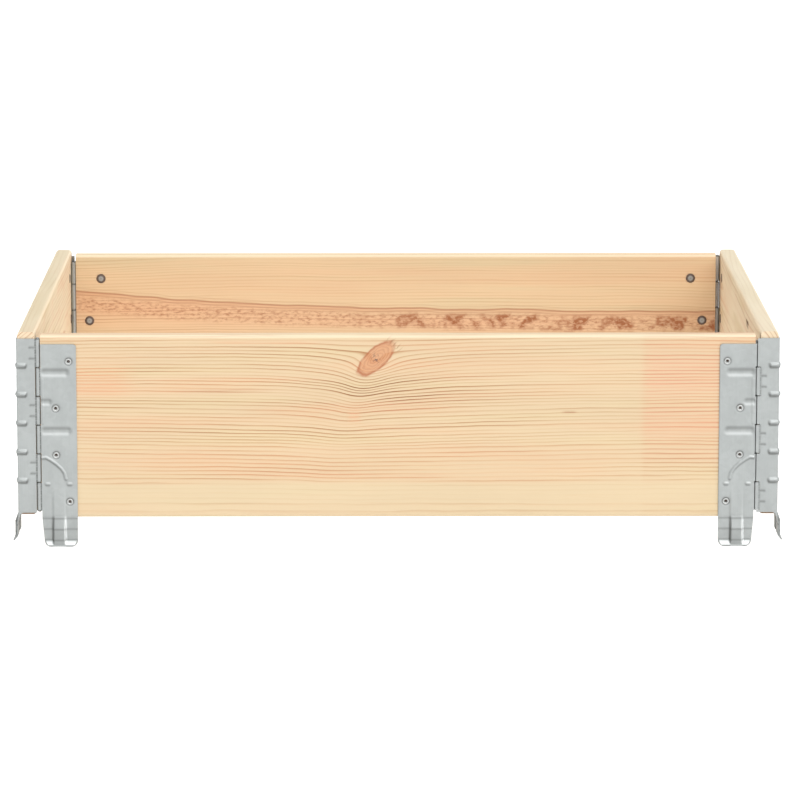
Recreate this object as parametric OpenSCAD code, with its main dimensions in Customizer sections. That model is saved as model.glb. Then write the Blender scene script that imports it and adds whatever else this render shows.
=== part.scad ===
// Wooden pallet collar: four pine boards joined at the corners by riveted steel hinges.
// The origin is on the floor in the middle of the footprint, +Z is up, the front board
// is towards -Y and the left board towards -X. Two opposite corners have their hinge pin
// near the outer faces and the other two near the inner faces, so the frame folds flat.
// The hinges hold the side boards a little higher than the front and back boards.

/* [Collar] */
// Length over the outer faces of the left and right boards
collar_length = 800; // [600:10:1200]
// Width over the outer faces of the front and back boards
collar_width = 600; // [400:10:800]

/* [Boards] */
// Height of every board
board_height = 195; // [180:1:240]
// Thickness of every board
board_thickness = 18.5; // [16:0.5:24]
// Radius of the rounded long edges
board_edge_radius = 4; // [1:0.5:6]
// Height of the side boards above the front and back boards
side_rise = 3.5; // [0:0.5:6]

/* [Hinges] */
// Thickness of the pressed steel sheet
sheet_thickness = 1.2; // [1:0.1:1.6]
// Diameter of the hinge pin
pin_diameter = 2.6; // [2.2:0.1:4.5]
// Radial play of the pin in a knuckle
pin_clearance = 0.05; // [0.02:0.01:0.1]
// Height of the peened head at each end of a pin
pin_head_height = 0.9; // [0.5:0.1:1.5]
// Overhang of the peened head beyond the pin's own radius
pin_head_overhang = 0.8; // [0.4:0.1:1.1]
// Number of knuckles in a hinge
knuckle_count = 6; // [4:1:8]
// Height of the gap between two knuckles
knuckle_gap = 0.6; // [0.3:0.1:1]
// Side clearance between a knuckle and the wood beside it
knuckle_clearance = 0.3; // [0.3:0.1:1]
// Clear space between two boards that are folded face to face
fold_gap = 3.2; // [3:0.1:6]
// Distance from the top edge of the side boards down to the hinges
hinge_top_inset = 7; // [5:0.5:15]
// Distance from the bottom edge of the side boards up to the lowest knuckle
hinge_bottom_inset = 3.5; // [2:0.5:8]
// Distance that a side leaf reaches past the wood before it bends into a hinge gap
tab_reach = 2.8; // [1.5:0.1:2.8]

/* [Leaves] */
// Distance from the top edge of the front and back boards down to their leaves
leaf_top_inset = 9.5; // [7:0.5:16]
// Sheet left between the outer rivets and the free edge of a leaf
leaf_margin = 8; // [6:0.5:14]
// Radius of the free upper corner of a leaf
leaf_corner_radius = 3; // [1:0.5:5]
// Depth of the grooves pressed across a leaf
groove_depth = 0.6; // [0.3:0.1:0.8]
// Width of the grooves pressed across a leaf
groove_width = 8; // [5:0.5:10]
// Distance of a groove's ends from the edges of the leaf
groove_margin = 5; // [4:0.5:8]
// Distance of the upper groove below the top rivet
groove_drop = 10; // [9:0.5:14]
// Height of the curved ridge that stiffens the foot
ridge_height = 1.2; // [0.6:0.1:2]
// Width of the curved ridge
ridge_width = 4; // [3:0.5:5]
// Bend radius of the curved ridge
ridge_radius = 22; // [16:1:24]
// Distance of the curved ridge below the rivet above it
ridge_drop = 3; // [2:0.5:5]
// Height of the ribs that stiffen the bend around a side board's end
rib_height = 2; // [1:0.1:3]
// Width of the ribs at that bend
rib_width = 7; // [5:0.5:9]
// Reach of those ribs along the sheet from the bend
rib_reach = 7; // [5:0.5:10]
// Height of those ribs above the joints between two knuckles
rib_lift = 2; // [0:0.5:5]

/* [Feet] */
// Height over which a foot leans away from its board
foot_flare_height = 12; // [8:0.5:16]
// Distance from the board's outer face to the inner face of the straight foot
foot_step = 2; // [1.5:0.1:4]
// Height of the straight part of a foot
foot_straight_height = 12; // [8:0.5:20]
// Height of the lip that guides the foot over a pallet
foot_lip_height = 6; // [4:0.5:9]
// Distance that the lip leans outwards
foot_lip_flare = 4.5; // [4:0.1:6]
// Narrowing of the foot on its hinge side
foot_taper = 3; // [1:0.5:6]
// Radius of the lower corners of a foot
foot_corner_radius = 6; // [3:0.5:8]
// Width of the channel pressed into a foot
channel_width = 14; // [10:0.5:18]
// Depth of the channel pressed into a foot
channel_depth = 3.3; // [2:0.1:3.8]
// Height of the channel's start above the board's bottom edge
channel_rise = 4; // [2:0.5:8]

/* [Rivets] */
// Rivets in each leaf
rivet_rows = 4; // [3:1:5]
// Distance of the top rivet below the board's top edge
rivet_top_inset = 28; // [22:1:34]
// Distance of the bottom rivet above the board's bottom edge
rivet_bottom_inset = 17; // [14:1:22]
// Distance of the inner rivets from the end of a front or back board
rivet_end_inset = 15.5; // [12:0.5:20]
// Sideways step between the inner and the outer rivets
rivet_stagger = 14; // [10:0.5:20]
// Space between an inner hinge barrel and the rivet head beside it
rivet_barrel_clearance = 0.75; // [0.5:0.05:3]
// Diameter of a rivet's shank
rivet_shank_diameter = 4.5; // [3.5:0.1:5]
// Radial play of a shank in the wood and the sheet
rivet_clearance = 0.1; // [0.05:0.05:0.3]
// Diameter of a rivet's round head
rivet_head_diameter = 10.5; // [9:0.5:13]
// Height of a rivet's round head
rivet_head_height = 1.6; // [1.2:0.1:1.8]
// Depth that a rivet's head is sunk into the wood
rivet_seat_depth = 0.6; // [0.3:0.1:1]
// Space around a rivet's head in its seat
rivet_seat_clearance = 0.4; // [0.2:0.1:1]
// Diameter of a rivet's rolled tail
rivet_tail_diameter = 7; // [6:0.1:8]
// Height of a rivet's rolled tail
rivet_tail_height = 0.9; // [0.5:0.1:1.2]
// Diameter of the hollow in a rivet's tail
rivet_hollow_diameter = 3; // [2:0.1:3]
// Depth of the hollow in a rivet's tail
rivet_hollow_depth = 5; // [3:0.5:8]

/* [Hidden] */
$fn = 64;
// Length by which a cutting shape runs past what it cuts
past = 20;

// Heights of the boards and the hinges above the floor
board_base = foot_flare_height + foot_straight_height + foot_lip_height;
board_top = board_base + board_height;
end_leaf_top = board_top - leaf_top_inset;
hinge_base = board_base + side_rise + hinge_bottom_inset;
hinge_top = board_top + side_rise - hinge_top_inset;
hinge_height = hinge_top - hinge_base;
knuckle_pitch = hinge_height / knuckle_count;

// Cross-section of the hinges, measured from the outer corner of the collar
bore_radius = pin_diameter / 2 + pin_clearance;
knuckle_radius = bore_radius + sheet_thickness;
board_gap = 2 * (knuckle_radius + knuckle_clearance);
end_board_start = board_thickness + board_gap;
pin_inset = board_thickness + board_gap / 2;
outer_pin_depth = knuckle_radius - sheet_thickness;
inner_pin_depth = board_thickness + fold_gap - board_gap / 2;

// Rivet places and leaf widths, measured from the end of the board
end_rivet_inset = rivet_end_inset;
side_rivet_inset = inner_pin_depth + knuckle_radius + rivet_barrel_clearance + rivet_head_diameter / 2;
end_leaf_width = end_rivet_inset + rivet_stagger + leaf_margin;
side_leaf_width = side_rivet_inset + rivet_stagger + leaf_margin;
rivet_pitch = (board_height - rivet_top_inset - rivet_bottom_inset) / (rivet_rows - 1);

function rivet_z(row) = board_top - rivet_top_inset - row * rivet_pitch;
function rivet_x(row, inset) = inset + (row == 0 || row == rivet_rows - 1 ? rivet_stagger : 0);

// Radius of a round bar that shows a given width and height above a face
function bar_radius(width, height) = (width * width / 4 + height * height) / (2 * height);

// Corner frames: the outer corner edge is the Z axis, the side board runs along +Y
// and the front or back board along +X
module front_left() {
    translate([-collar_length / 2, -collar_width / 2, 0]) children();
}
module front_right() {
    mirror([1, 0, 0]) front_left() children();
}
module back_right() {
    rotate([0, 0, 180]) front_left() children();
}
module back_left() {
    rotate([0, 0, 180]) front_right() children();
}
// Swaps X and Y, from a front or back board to a side board
module on_side_board() {
    translate([0, 0, side_rise]) mirror([1, -1, 0]) children();
}
// Places of one leaf's rivets on the face of its board
module at_rivets(inset) {
    for (row = [0:rivet_rows - 1]) {
        translate([rivet_x(row, inset), 0, rivet_z(row)]) rotate([-90, 0, 0]) children();
    }
}

// Boards
module board_section() {
    across = board_thickness - 2 * board_edge_radius;
    up = board_height - 2 * board_edge_radius;
    translate([board_edge_radius, 0]) square([across, board_height]);
    translate([0, board_edge_radius]) square([board_thickness, up]);
    for (x = [0, across], y = [0, up]) {
        translate([board_edge_radius + x, board_edge_radius + y]) circle(r = board_edge_radius);
    }
}
// Board with its outer face at y = 0 and its ends at x = start and x = start + length
module board(start, length) {
    translate([start, 0, board_base]) rotate([90, 0, 90]) linear_extrude(length) board_section();
}
module rivet_seats(inset) {
    seat_radius = rivet_head_diameter / 2 + rivet_seat_clearance;
    at_rivets(inset) {
        translate([0, 0, -past]) {
            cylinder(r = rivet_shank_diameter / 2 + rivet_clearance, h = 2 * past + board_thickness);
        }
        translate([0, 0, board_thickness - rivet_seat_depth]) cylinder(r = seat_radius, h = past);
    }
}
module end_board() {
    length = collar_length - 2 * end_board_start;
    color("burlywood") difference() {
        board(end_board_start, length);
        translate([end_board_start, 0, 0]) rivet_seats(end_rivet_inset);
        translate([end_board_start + length, 0, 0]) mirror([1, 0, 0]) rivet_seats(end_rivet_inset);
    }
}
module side_board() {
    color("burlywood") difference() {
        on_side_board() board(0, collar_width);
        on_side_board() rivet_seats(side_rivet_inset);
        on_side_board() translate([collar_width, 0, 0]) mirror([1, 0, 0]) rivet_seats(side_rivet_inset);
    }
}
module front_board() front_left() end_board();
module back_board() back_right() end_board();
module left_board() front_left() side_board();
module right_board() back_right() side_board();

// Foot of a leaf, drawn as a section of the bent sheet and cut to its outline
module bent_sheet(lean, thickness) {
    low = foot_lip_height;
    high = foot_lip_height + foot_straight_height;
    polygon([
        [0, board_base + channel_rise], [-thickness, board_base + channel_rise],
        [-thickness, board_base], [-lean - thickness, high], [-lean - thickness, low],
        [-lean - foot_lip_flare - thickness, 0], [-lean - foot_lip_flare, 0],
        [-lean, low], [-lean, high], [0, board_base]
    ]);
}
module channel_section(outer) {
    depth = foot_step + channel_depth + (outer ? sheet_thickness : 0);
    start = outer ? sheet_thickness / 2 : 0;
    full = board_base - foot_flare_height;
    polygon([
        [past, board_base + channel_rise], [-start, board_base + channel_rise],
        [-depth, full], [-depth, 0], [past, 0]
    ]);
}
module foot_outline(width) {
    difference() {
        polygon([
            [0, board_base + channel_rise], [0, board_base], [foot_taper, foot_corner_radius],
            [foot_taper, 0], [width, 0], [width, board_base + channel_rise]
        ]);
        for (side = [0, 1]) {
            x = side == 0 ? foot_taper : width - foot_corner_radius;
            centre = side == 0 ? foot_taper + foot_corner_radius : width - foot_corner_radius;
            difference() {
                translate([x, 0]) square(foot_corner_radius);
                translate([centre, foot_corner_radius]) circle(r = foot_corner_radius);
            }
        }
    }
}
// Extrudes a section drawn in Y and Z along X
module along_x(from, length) {
    translate([from, 0, 0]) rotate([90, 0, 90]) linear_extrude(length) children();
}
module foot(width) {
    channel_start = (width - channel_width) / 2;
    hollow_width = channel_width - 2 * sheet_thickness;
    intersection() {
        difference() {
            union() {
                along_x(0, width) bent_sheet(foot_step, sheet_thickness);
                difference() {
                    along_x(channel_start, channel_width) channel_section(true);
                    foot_inside(width);
                }
            }
            along_x(channel_start + sheet_thickness, hollow_width) channel_section(false);
        }
        translate([0, past / 2, 0]) rotate([90, 0, 0]) linear_extrude(2 * past) foot_outline(width);
    }
}
// Space behind the inner face of the bent sheet
module foot_inside(width) {
    low = foot_lip_height;
    high = foot_lip_height + foot_straight_height;
    along_x(-past, width + 2 * past) polygon([
        [0, board_base + channel_rise + past], [0, board_base], [-foot_step, high], [-foot_step, low],
        [-foot_step - foot_lip_flare, 0], [-foot_step - foot_lip_flare, -past],
        [2 * past, -past], [2 * past, board_base + channel_rise + past]
    ]);
}

// Flat sheet of a leaf with its pressings, from the hinge edge at x = 0 outwards
module leaf_sheet(width, top) {
    height = top - board_base;
    translate([0, 0, board_base]) rotate([90, 0, 0]) linear_extrude(sheet_thickness) {
        square([width - leaf_corner_radius, height]);
        square([width, height - leaf_corner_radius]);
        translate([width - leaf_corner_radius, height - leaf_corner_radius]) circle(r = leaf_corner_radius);
    }
}
module groove(width, z) {
    radius = bar_radius(groove_width, groove_depth);
    translate([groove_margin, -sheet_thickness - radius + groove_depth, z]) {
        rotate([0, 90, 0]) cylinder(r = radius, h = width - 2 * groove_margin, $fn = 128);
    }
}
module ridge(width) {
    radius = bar_radius(ridge_width, ridge_height);
    x = (width + channel_width - ridge_width) / 2;
    bend_z = rivet_z(rivet_rows - 2) - rivet_tail_diameter / 2 - ridge_drop - ridge_radius;
    foot_z = board_base + channel_rise;
    intersection() {
        translate([0, -sheet_thickness - ridge_height + radius, 0]) {
            translate([x, 0, foot_z]) cylinder(r = radius, h = bend_z - foot_z);
            translate([x - ridge_radius, 0, bend_z]) rotate([90, 0, 0]) rotate_extrude(angle = 90) {
                translate([ridge_radius, 0]) circle(r = radius);
            }
            translate([0, 0, bend_z + ridge_radius]) rotate([0, 90, 0]) {
                cylinder(r = radius, h = x - ridge_radius);
            }
        }
        translate([0, -sheet_thickness / 2 - past, 0]) cube([width, past, board_top]);
    }
}
module leaf(width, inset, top) {
    difference() {
        union() {
            leaf_sheet(width, top);
            foot(width);
            ridge(width);
        }
        groove(width, rivet_z(0) - groove_drop);
        groove(width, (rivet_z(1) + rivet_z(2)) / 2);
        at_rivets(inset) {
            translate([0, 0, -past]) cylinder(r = rivet_shank_diameter / 2 + rivet_clearance, h = 2 * past);
        }
    }
}

// Sheet bent around the end of a side board, with ribs across the bend
module quarter_bend(low, height) {
    translate([0, 0, low]) rotate([0, 0, 180]) rotate_extrude(angle = 90) square([sheet_thickness, height]);
}
module corner_rib(z) {
    radius = bar_radius(rib_width, rib_height);
    centre = radius - rib_height - sheet_thickness;
    difference() {
        translate([centre, centre, z]) {
            sphere(r = radius);
            rotate([0, 90, 0]) cylinder(r = radius, h = rib_reach);
            rotate([-90, 0, 0]) cylinder(r = radius, h = rib_reach);
            translate([rib_reach, 0, 0]) sphere(r = radius);
            translate([0, rib_reach, 0]) sphere(r = radius);
        }
        translate([-sheet_thickness / 2, -sheet_thickness / 2, z - past]) cube(2 * past);
    }
}
module end_wrap(reach) {
    quarter_bend(hinge_base, hinge_height);
    translate([0, -sheet_thickness, hinge_base]) {
        cube([board_thickness + reach, sheet_thickness, hinge_height]);
    }
    for (joint = [1:knuckle_count - 1]) {
        corner_rib(hinge_top - joint * knuckle_pitch + rib_lift);
    }
}

// Knuckles of one leaf: every second one, counted down from the top
module at_knuckles(first) {
    for (k = [first:2:knuckle_count - 1]) {
        translate([0, 0, hinge_top - (k + 1) * knuckle_pitch + knuckle_gap / 2]) children();
    }
}
knuckle_height = knuckle_pitch - knuckle_gap;
module knuckle(depth) {
    translate([pin_inset, depth, 0]) cylinder(r = knuckle_radius, h = knuckle_height);
}
module pin_bore(depth) {
    translate([pin_inset, depth, 0]) cylinder(r = bore_radius, h = board_top + side_rise);
}
// Straight tab that runs from the flat of a leaf to a knuckle near the outer faces
module outer_tab(from, to) {
    translate([from, -sheet_thickness, 0]) cube([to - from, sheet_thickness, knuckle_height]);
}
// Tab that bends into the gap between the boards, to a knuckle near the inner faces
module inner_tab() {
    rotate([0, 0, 90]) quarter_bend(0, knuckle_height);
    cube([sheet_thickness, inner_pin_depth, knuckle_height]);
}

// Leaves of a corner whose pin is near the outer faces
module outer_side_leaf() {
    color("silver") difference() {
        union() {
            on_side_board() leaf(side_leaf_width, side_rivet_inset, hinge_top - side_rise);
            end_wrap(0);
            at_knuckles(0) outer_tab(board_thickness, pin_inset);
            at_knuckles(0) knuckle(outer_pin_depth);
        }
        pin_bore(outer_pin_depth);
    }
}
module outer_end_leaf() {
    color("silver") difference() {
        union() {
            translate([end_board_start, 0, 0]) leaf(end_leaf_width, end_rivet_inset, end_leaf_top);
            at_knuckles(1) outer_tab(pin_inset, end_board_start);
            at_knuckles(1) knuckle(outer_pin_depth);
        }
        pin_bore(outer_pin_depth);
    }
}
// Leaves of a corner whose pin is near the inner faces
module inner_side_leaf() {
    color("silver") difference() {
        union() {
            on_side_board() leaf(side_leaf_width, side_rivet_inset, hinge_top - side_rise);
            end_wrap(tab_reach);
            at_knuckles(1) translate([board_thickness + tab_reach, 0, 0]) inner_tab();
            at_knuckles(1) knuckle(inner_pin_depth);
        }
        pin_bore(inner_pin_depth);
    }
}
module inner_end_leaf() {
    color("silver") difference() {
        union() {
            translate([end_board_start, 0, 0]) leaf(end_leaf_width, end_rivet_inset, end_leaf_top);
            at_knuckles(0) translate([end_board_start, 0, 0]) mirror([1, 0, 0]) inner_tab();
            at_knuckles(0) knuckle(inner_pin_depth);
        }
        pin_bore(inner_pin_depth);
        translate([0, -past, end_leaf_top]) cube([end_board_start + past, board_thickness + 2 * past, past]);
    }
}
module front_left_side_leaf() front_left() outer_side_leaf();
module front_left_front_leaf() front_left() outer_end_leaf();
module front_right_side_leaf() front_right() inner_side_leaf();
module front_right_front_leaf() front_right() inner_end_leaf();
module back_left_side_leaf() back_left() inner_side_leaf();
module back_left_back_leaf() back_left() inner_end_leaf();
module back_right_side_leaf() back_right() outer_side_leaf();
module back_right_back_leaf() back_right() outer_end_leaf();

// Hinge pins with a peened head at each end
module hinge_pin(depth, top) {
    radius = pin_diameter / 2;
    head_radius = radius + pin_head_overhang;
    color("darkgray") translate([pin_inset, depth, 0]) {
        translate([0, 0, hinge_base]) cylinder(r = radius, h = top - hinge_base);
        translate([0, 0, top]) cylinder(r1 = head_radius, r2 = radius, h = pin_head_height);
        translate([0, 0, hinge_base - pin_head_height]) {
            cylinder(r1 = radius, r2 = head_radius, h = pin_head_height);
        }
    }
}
module front_left_hinge_pin() front_left() hinge_pin(outer_pin_depth, hinge_top);
module front_right_hinge_pin() front_right() hinge_pin(inner_pin_depth, end_leaf_top);
module back_left_hinge_pin() back_left() hinge_pin(inner_pin_depth, end_leaf_top);
module back_right_hinge_pin() back_right() hinge_pin(outer_pin_depth, hinge_top);

// Rivets, with the round head inside the collar and the rolled tail on the leaf
module rivet() {
    seat = board_thickness - rivet_seat_depth;
    head_radius = rivet_head_diameter / 2;
    dome_radius = bar_radius(rivet_head_diameter, rivet_head_height);
    tail = -sheet_thickness - rivet_tail_height;
    difference() {
        union() {
            translate([0, 0, tail]) cylinder(d = rivet_shank_diameter, h = seat - tail);
            translate([0, 0, tail]) cylinder(d = rivet_tail_diameter, h = rivet_tail_height);
            intersection() {
                translate([0, 0, seat]) cylinder(r = head_radius, h = rivet_head_height);
                translate([0, 0, seat + rivet_head_height - dome_radius]) sphere(r = dome_radius);
            }
        }
        translate([0, 0, tail - past]) cylinder(d = rivet_hollow_diameter, h = past + rivet_hollow_depth);
    }
}
module end_rivets() {
    color("gray") translate([end_board_start, 0, 0]) at_rivets(end_rivet_inset) rivet();
}
module side_rivets() {
    color("gray") on_side_board() at_rivets(side_rivet_inset) rivet();
}
module front_left_side_rivets() front_left() side_rivets();
module front_left_front_rivets() front_left() end_rivets();
module front_right_side_rivets() front_right() side_rivets();
module front_right_front_rivets() front_right() end_rivets();
module back_left_side_rivets() back_left() side_rivets();
module back_left_back_rivets() back_left() end_rivets();
module back_right_side_rivets() back_right() side_rivets();
module back_right_back_rivets() back_right() end_rivets();

front_board();
back_board();
left_board();
right_board();
front_left_side_leaf();
front_left_front_leaf();
front_left_hinge_pin();
front_right_side_leaf();
front_right_front_leaf();
front_right_hinge_pin();
back_left_side_leaf();
back_left_back_leaf();
back_left_hinge_pin();
back_right_side_leaf();
back_right_back_leaf();
back_right_hinge_pin();
front_left_side_rivets();
front_left_front_rivets();
front_right_side_rivets();
front_right_front_rivets();
back_left_side_rivets();
back_left_back_rivets();
back_right_side_rivets();
back_right_back_rivets();
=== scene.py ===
import math

import bpy
import numpy as np
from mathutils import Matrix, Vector


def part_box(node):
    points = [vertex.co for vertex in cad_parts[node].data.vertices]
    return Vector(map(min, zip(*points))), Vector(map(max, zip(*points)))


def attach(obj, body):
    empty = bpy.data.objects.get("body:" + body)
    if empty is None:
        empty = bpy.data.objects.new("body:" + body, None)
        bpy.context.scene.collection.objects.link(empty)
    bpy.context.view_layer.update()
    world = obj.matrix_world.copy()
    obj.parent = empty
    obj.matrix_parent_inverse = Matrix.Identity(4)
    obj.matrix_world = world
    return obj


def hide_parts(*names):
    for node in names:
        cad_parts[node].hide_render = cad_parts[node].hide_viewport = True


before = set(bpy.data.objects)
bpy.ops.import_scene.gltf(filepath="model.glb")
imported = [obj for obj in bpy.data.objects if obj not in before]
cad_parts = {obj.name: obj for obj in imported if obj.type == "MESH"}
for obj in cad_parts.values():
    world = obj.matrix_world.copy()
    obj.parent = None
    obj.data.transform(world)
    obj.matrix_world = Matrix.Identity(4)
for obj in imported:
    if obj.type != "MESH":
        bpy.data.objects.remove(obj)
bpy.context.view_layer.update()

MM = 0.001


def box_mm(node):
    """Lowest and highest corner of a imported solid, in millimetres."""
    return [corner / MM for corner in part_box(node)]


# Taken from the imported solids, in millimetres
FRONT_LO, FRONT_HI = box_mm("front_board")
LEFT_LO, _ = box_mm("left_board")
_, END_LEAF_HI = box_mm("front_left_front_leaf")
_, SIDE_LEAF_HI = box_mm("front_left_side_leaf")
OUTER_PIN_LO, OUTER_PIN_HI = box_mm("front_left_hinge_pin")
INNER_PIN_LO, INNER_PIN_HI = box_mm("front_right_hinge_pin")

HALF_X = -LEFT_LO.x
HALF_Y = -FRONT_LO.y
BOARD = FRONT_HI.y - FRONT_LO.y
BOARD_BASE = FRONT_LO.z
SIDE_RISE = LEFT_LO.z - FRONT_LO.z
END_START = HALF_X - FRONT_HI.x
END_WIDTH = END_LEAF_HI.x - FRONT_LO.x
SIDE_WIDTH = SIDE_LEAF_HI.y + HALF_Y
END_TOP = END_LEAF_HI.z
HINGE_TOP = SIDE_LEAF_HI.z
PIN_INSET = HALF_X + (OUTER_PIN_LO.x + OUTER_PIN_HI.x) / 2
OUTER_PIN_DEPTH = HALF_Y + (OUTER_PIN_LO.y + OUTER_PIN_HI.y) / 2
INNER_PIN_DEPTH = HALF_Y + (INNER_PIN_LO.y + INNER_PIN_HI.y) / 2

# Pressed sheet, with lengths in millimetres
SHEET = 1.2
KNUCKLES = 6
KNUCKLE_GAP = 0.9
HINGE_BOTTOM_INSET = 3.5
HINGE_BASE = LEFT_LO.z + HINGE_BOTTOM_INSET
KNUCKLE_PITCH = (HINGE_TOP - HINGE_BASE) / KNUCKLES
KNUCKLE_BORE = OUTER_PIN_DEPTH
KNUCKLE_RADIUS = KNUCKLE_BORE + SHEET
CURL_SWEEP = math.radians(292)
CURL_STEPS = 26
BEND_STEPS = 8
BEND_EASE = 0.15
TAB_REACH = 2.8
TAB_BEND = 1.4
TAB_LEDGE = 0.5
TAB_NOTCH = BOARD + 2.2
SWAY = (8.0, 16.5)
SWAY_STEPS = 14
WRAP_SKIRT = 1.8
WEB_DROP = 5
WEB_RISE = 14
WEB_REACH = 7
WEB_PLATE_REACH = 10
LEAF_CORNER = 3
GRID_STEP = 0.9
TAB_STEP = 0.45
HAIR = 0.01
SHARP_ANGLE = math.radians(38)

# Pressings of a plate, in millimetres: a section is a flat half-width and the wall beyond it
GROOVES = (
    {"z": 185.3, "from": 4, "to": 26.0, "depth": 0.95, "section": (0.4, 5.2)},
    {"z": 122.9, "from": 4, "to": 28.0, "depth": 0.95, "section": (0.4, 5.2)},
    {"z": 153.8, "from": 1, "to": 8.4, "depth": 0.8, "section": (0.3, 4.4)},
)
DIMPLES = (6.2, 29.4)
DIMPLE_Z = 66.0
DIMPLE_HALF = 1.2
DIMPLE_RISE = 0.6
DIMPLE_SECTION = (0.3, 2.2)
ARCH_START = (-1, 94)
ARCH = ((4.5, 94.6), (9.3, 92), (15.6, 87.6), (20.9, 82.6), (24, 78), (25.6, 71.5))
ARCH_RISE = 0.65
ARCH_SECTION = (0.2, 2.1)
BEAD = ((2.0, 131), (2.0, 178))
BEAD_RISE = 0.25
BEAD_SECTION = (0.2, 1.5)
WAVE_RISE = 0.05
WAVE_LENGTHS = (8.0, 19.0)

# Pressings of a wrap, in millimetres
RIB_HEIGHT = 1.7
RIB_REACH = 8.6
RIB_LIFT = 2
RIB_SECTION = (0.6, 2.7)
RIB_END = 2.4
RIB_DIP = 0.45
RIB_DIP_REACH = 2.2
DENT_DEPTH = 0.3
DENT_SHARES = (0.33, 0.71)
DENT_SPAN = (BOARD - 4.0, BOARD - 0.8)
DENT_SECTION = (0.2, 2.4)
CREASE_DEPTH = 0.45
CREASE_SECTION = (0.3, 0.9)
CREASES = {("outer", "end"): 0.7, ("outer", "side"): BOARD + 2.5, ("inner", "side"): BOARD + 2.0}

# Feet, with lengths in millimetres
FOOT_FLARE = 12
FOOT_STEP = 2
FOOT_LIP = 6
FOOT_LIP_FLARE = 4.5
FOOT_TAPER = 3
FOOT_CORNER = 6
FOOT_CORNER_STEPS = 12
FOOT_BLEND = 4
CHANNEL_DEPTH = 3.3
CHANNEL_WIDTH = 15
CHANNEL_SHIFT = 0.6
CHANNEL_WALL = 2.0
CHANNEL_RISE = 3
CHANNEL_FADE = 66
CHANNEL_FADE_SPAN = 26
CHANNEL_FAINT = 0.5

# Rivets, with lengths in millimetres
RIVET_NEAR = 15.5
RIVET_FAR = 29.5
RIVET_PLACES = ((RIVET_FAR, 197), (RIVET_NEAR, 147), (RIVET_NEAR, 97), (RIVET_FAR, 47))
RIVET_DISH_DEPTH = 0.3
RIVET_DISH_SECTION = (3.2, 2.4)
RIVET_SHANK = 2.25
RIVET_HEAD = 5.25
RIVET_HEAD_RISE = 1.0
RIVET_HEAD_LIFT = 0.1
RIVET_SINK = 0.6
RIVET_TAIL = 3.5
RIVET_TAIL_RISE = 0.9
RIVET_HOLE = 1.6
RIVET_HOLE_DEPTH = 2.8
RIVET_SIDES = 40
RIVET_TAIL_STEPS = 12
RIVET_HEAD_STEPS = 16

# Corners as the signs of X and Y, each with its hinge form
CORNERS = {
    "front_left": (-1, -1, "outer"),
    "front_right": (1, -1, "inner"),
    "back_left": (-1, 1, "inner"),
    "back_right": (1, 1, "outer"),
}
OWN_KNUCKLES = {
    ("outer", "side"): (0, 2, 4),
    ("outer", "end"): (1, 3, 5),
    ("inner", "side"): (1, 3, 5),
    ("inner", "end"): (0, 2, 4),
}


# Node graphs

class Num:
    """One number in a node graph, with the usual signs."""

    def __init__(self, graph, socket):
        self.graph = graph
        self.socket = socket

    def __add__(self, other):
        return self.graph.math("ADD", self, other)

    __radd__ = __add__

    def __sub__(self, other):
        return self.graph.math("SUBTRACT", self, other)

    def __rsub__(self, other):
        return self.graph.math("SUBTRACT", other, self)

    def __mul__(self, other):
        return self.graph.math("MULTIPLY", self, other)

    __rmul__ = __mul__

    def __truediv__(self, other):
        return self.graph.math("DIVIDE", self, other)

    def squared(self):
        return self * self

    def fract(self):
        return self.graph.math("FRACT", self)


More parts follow.
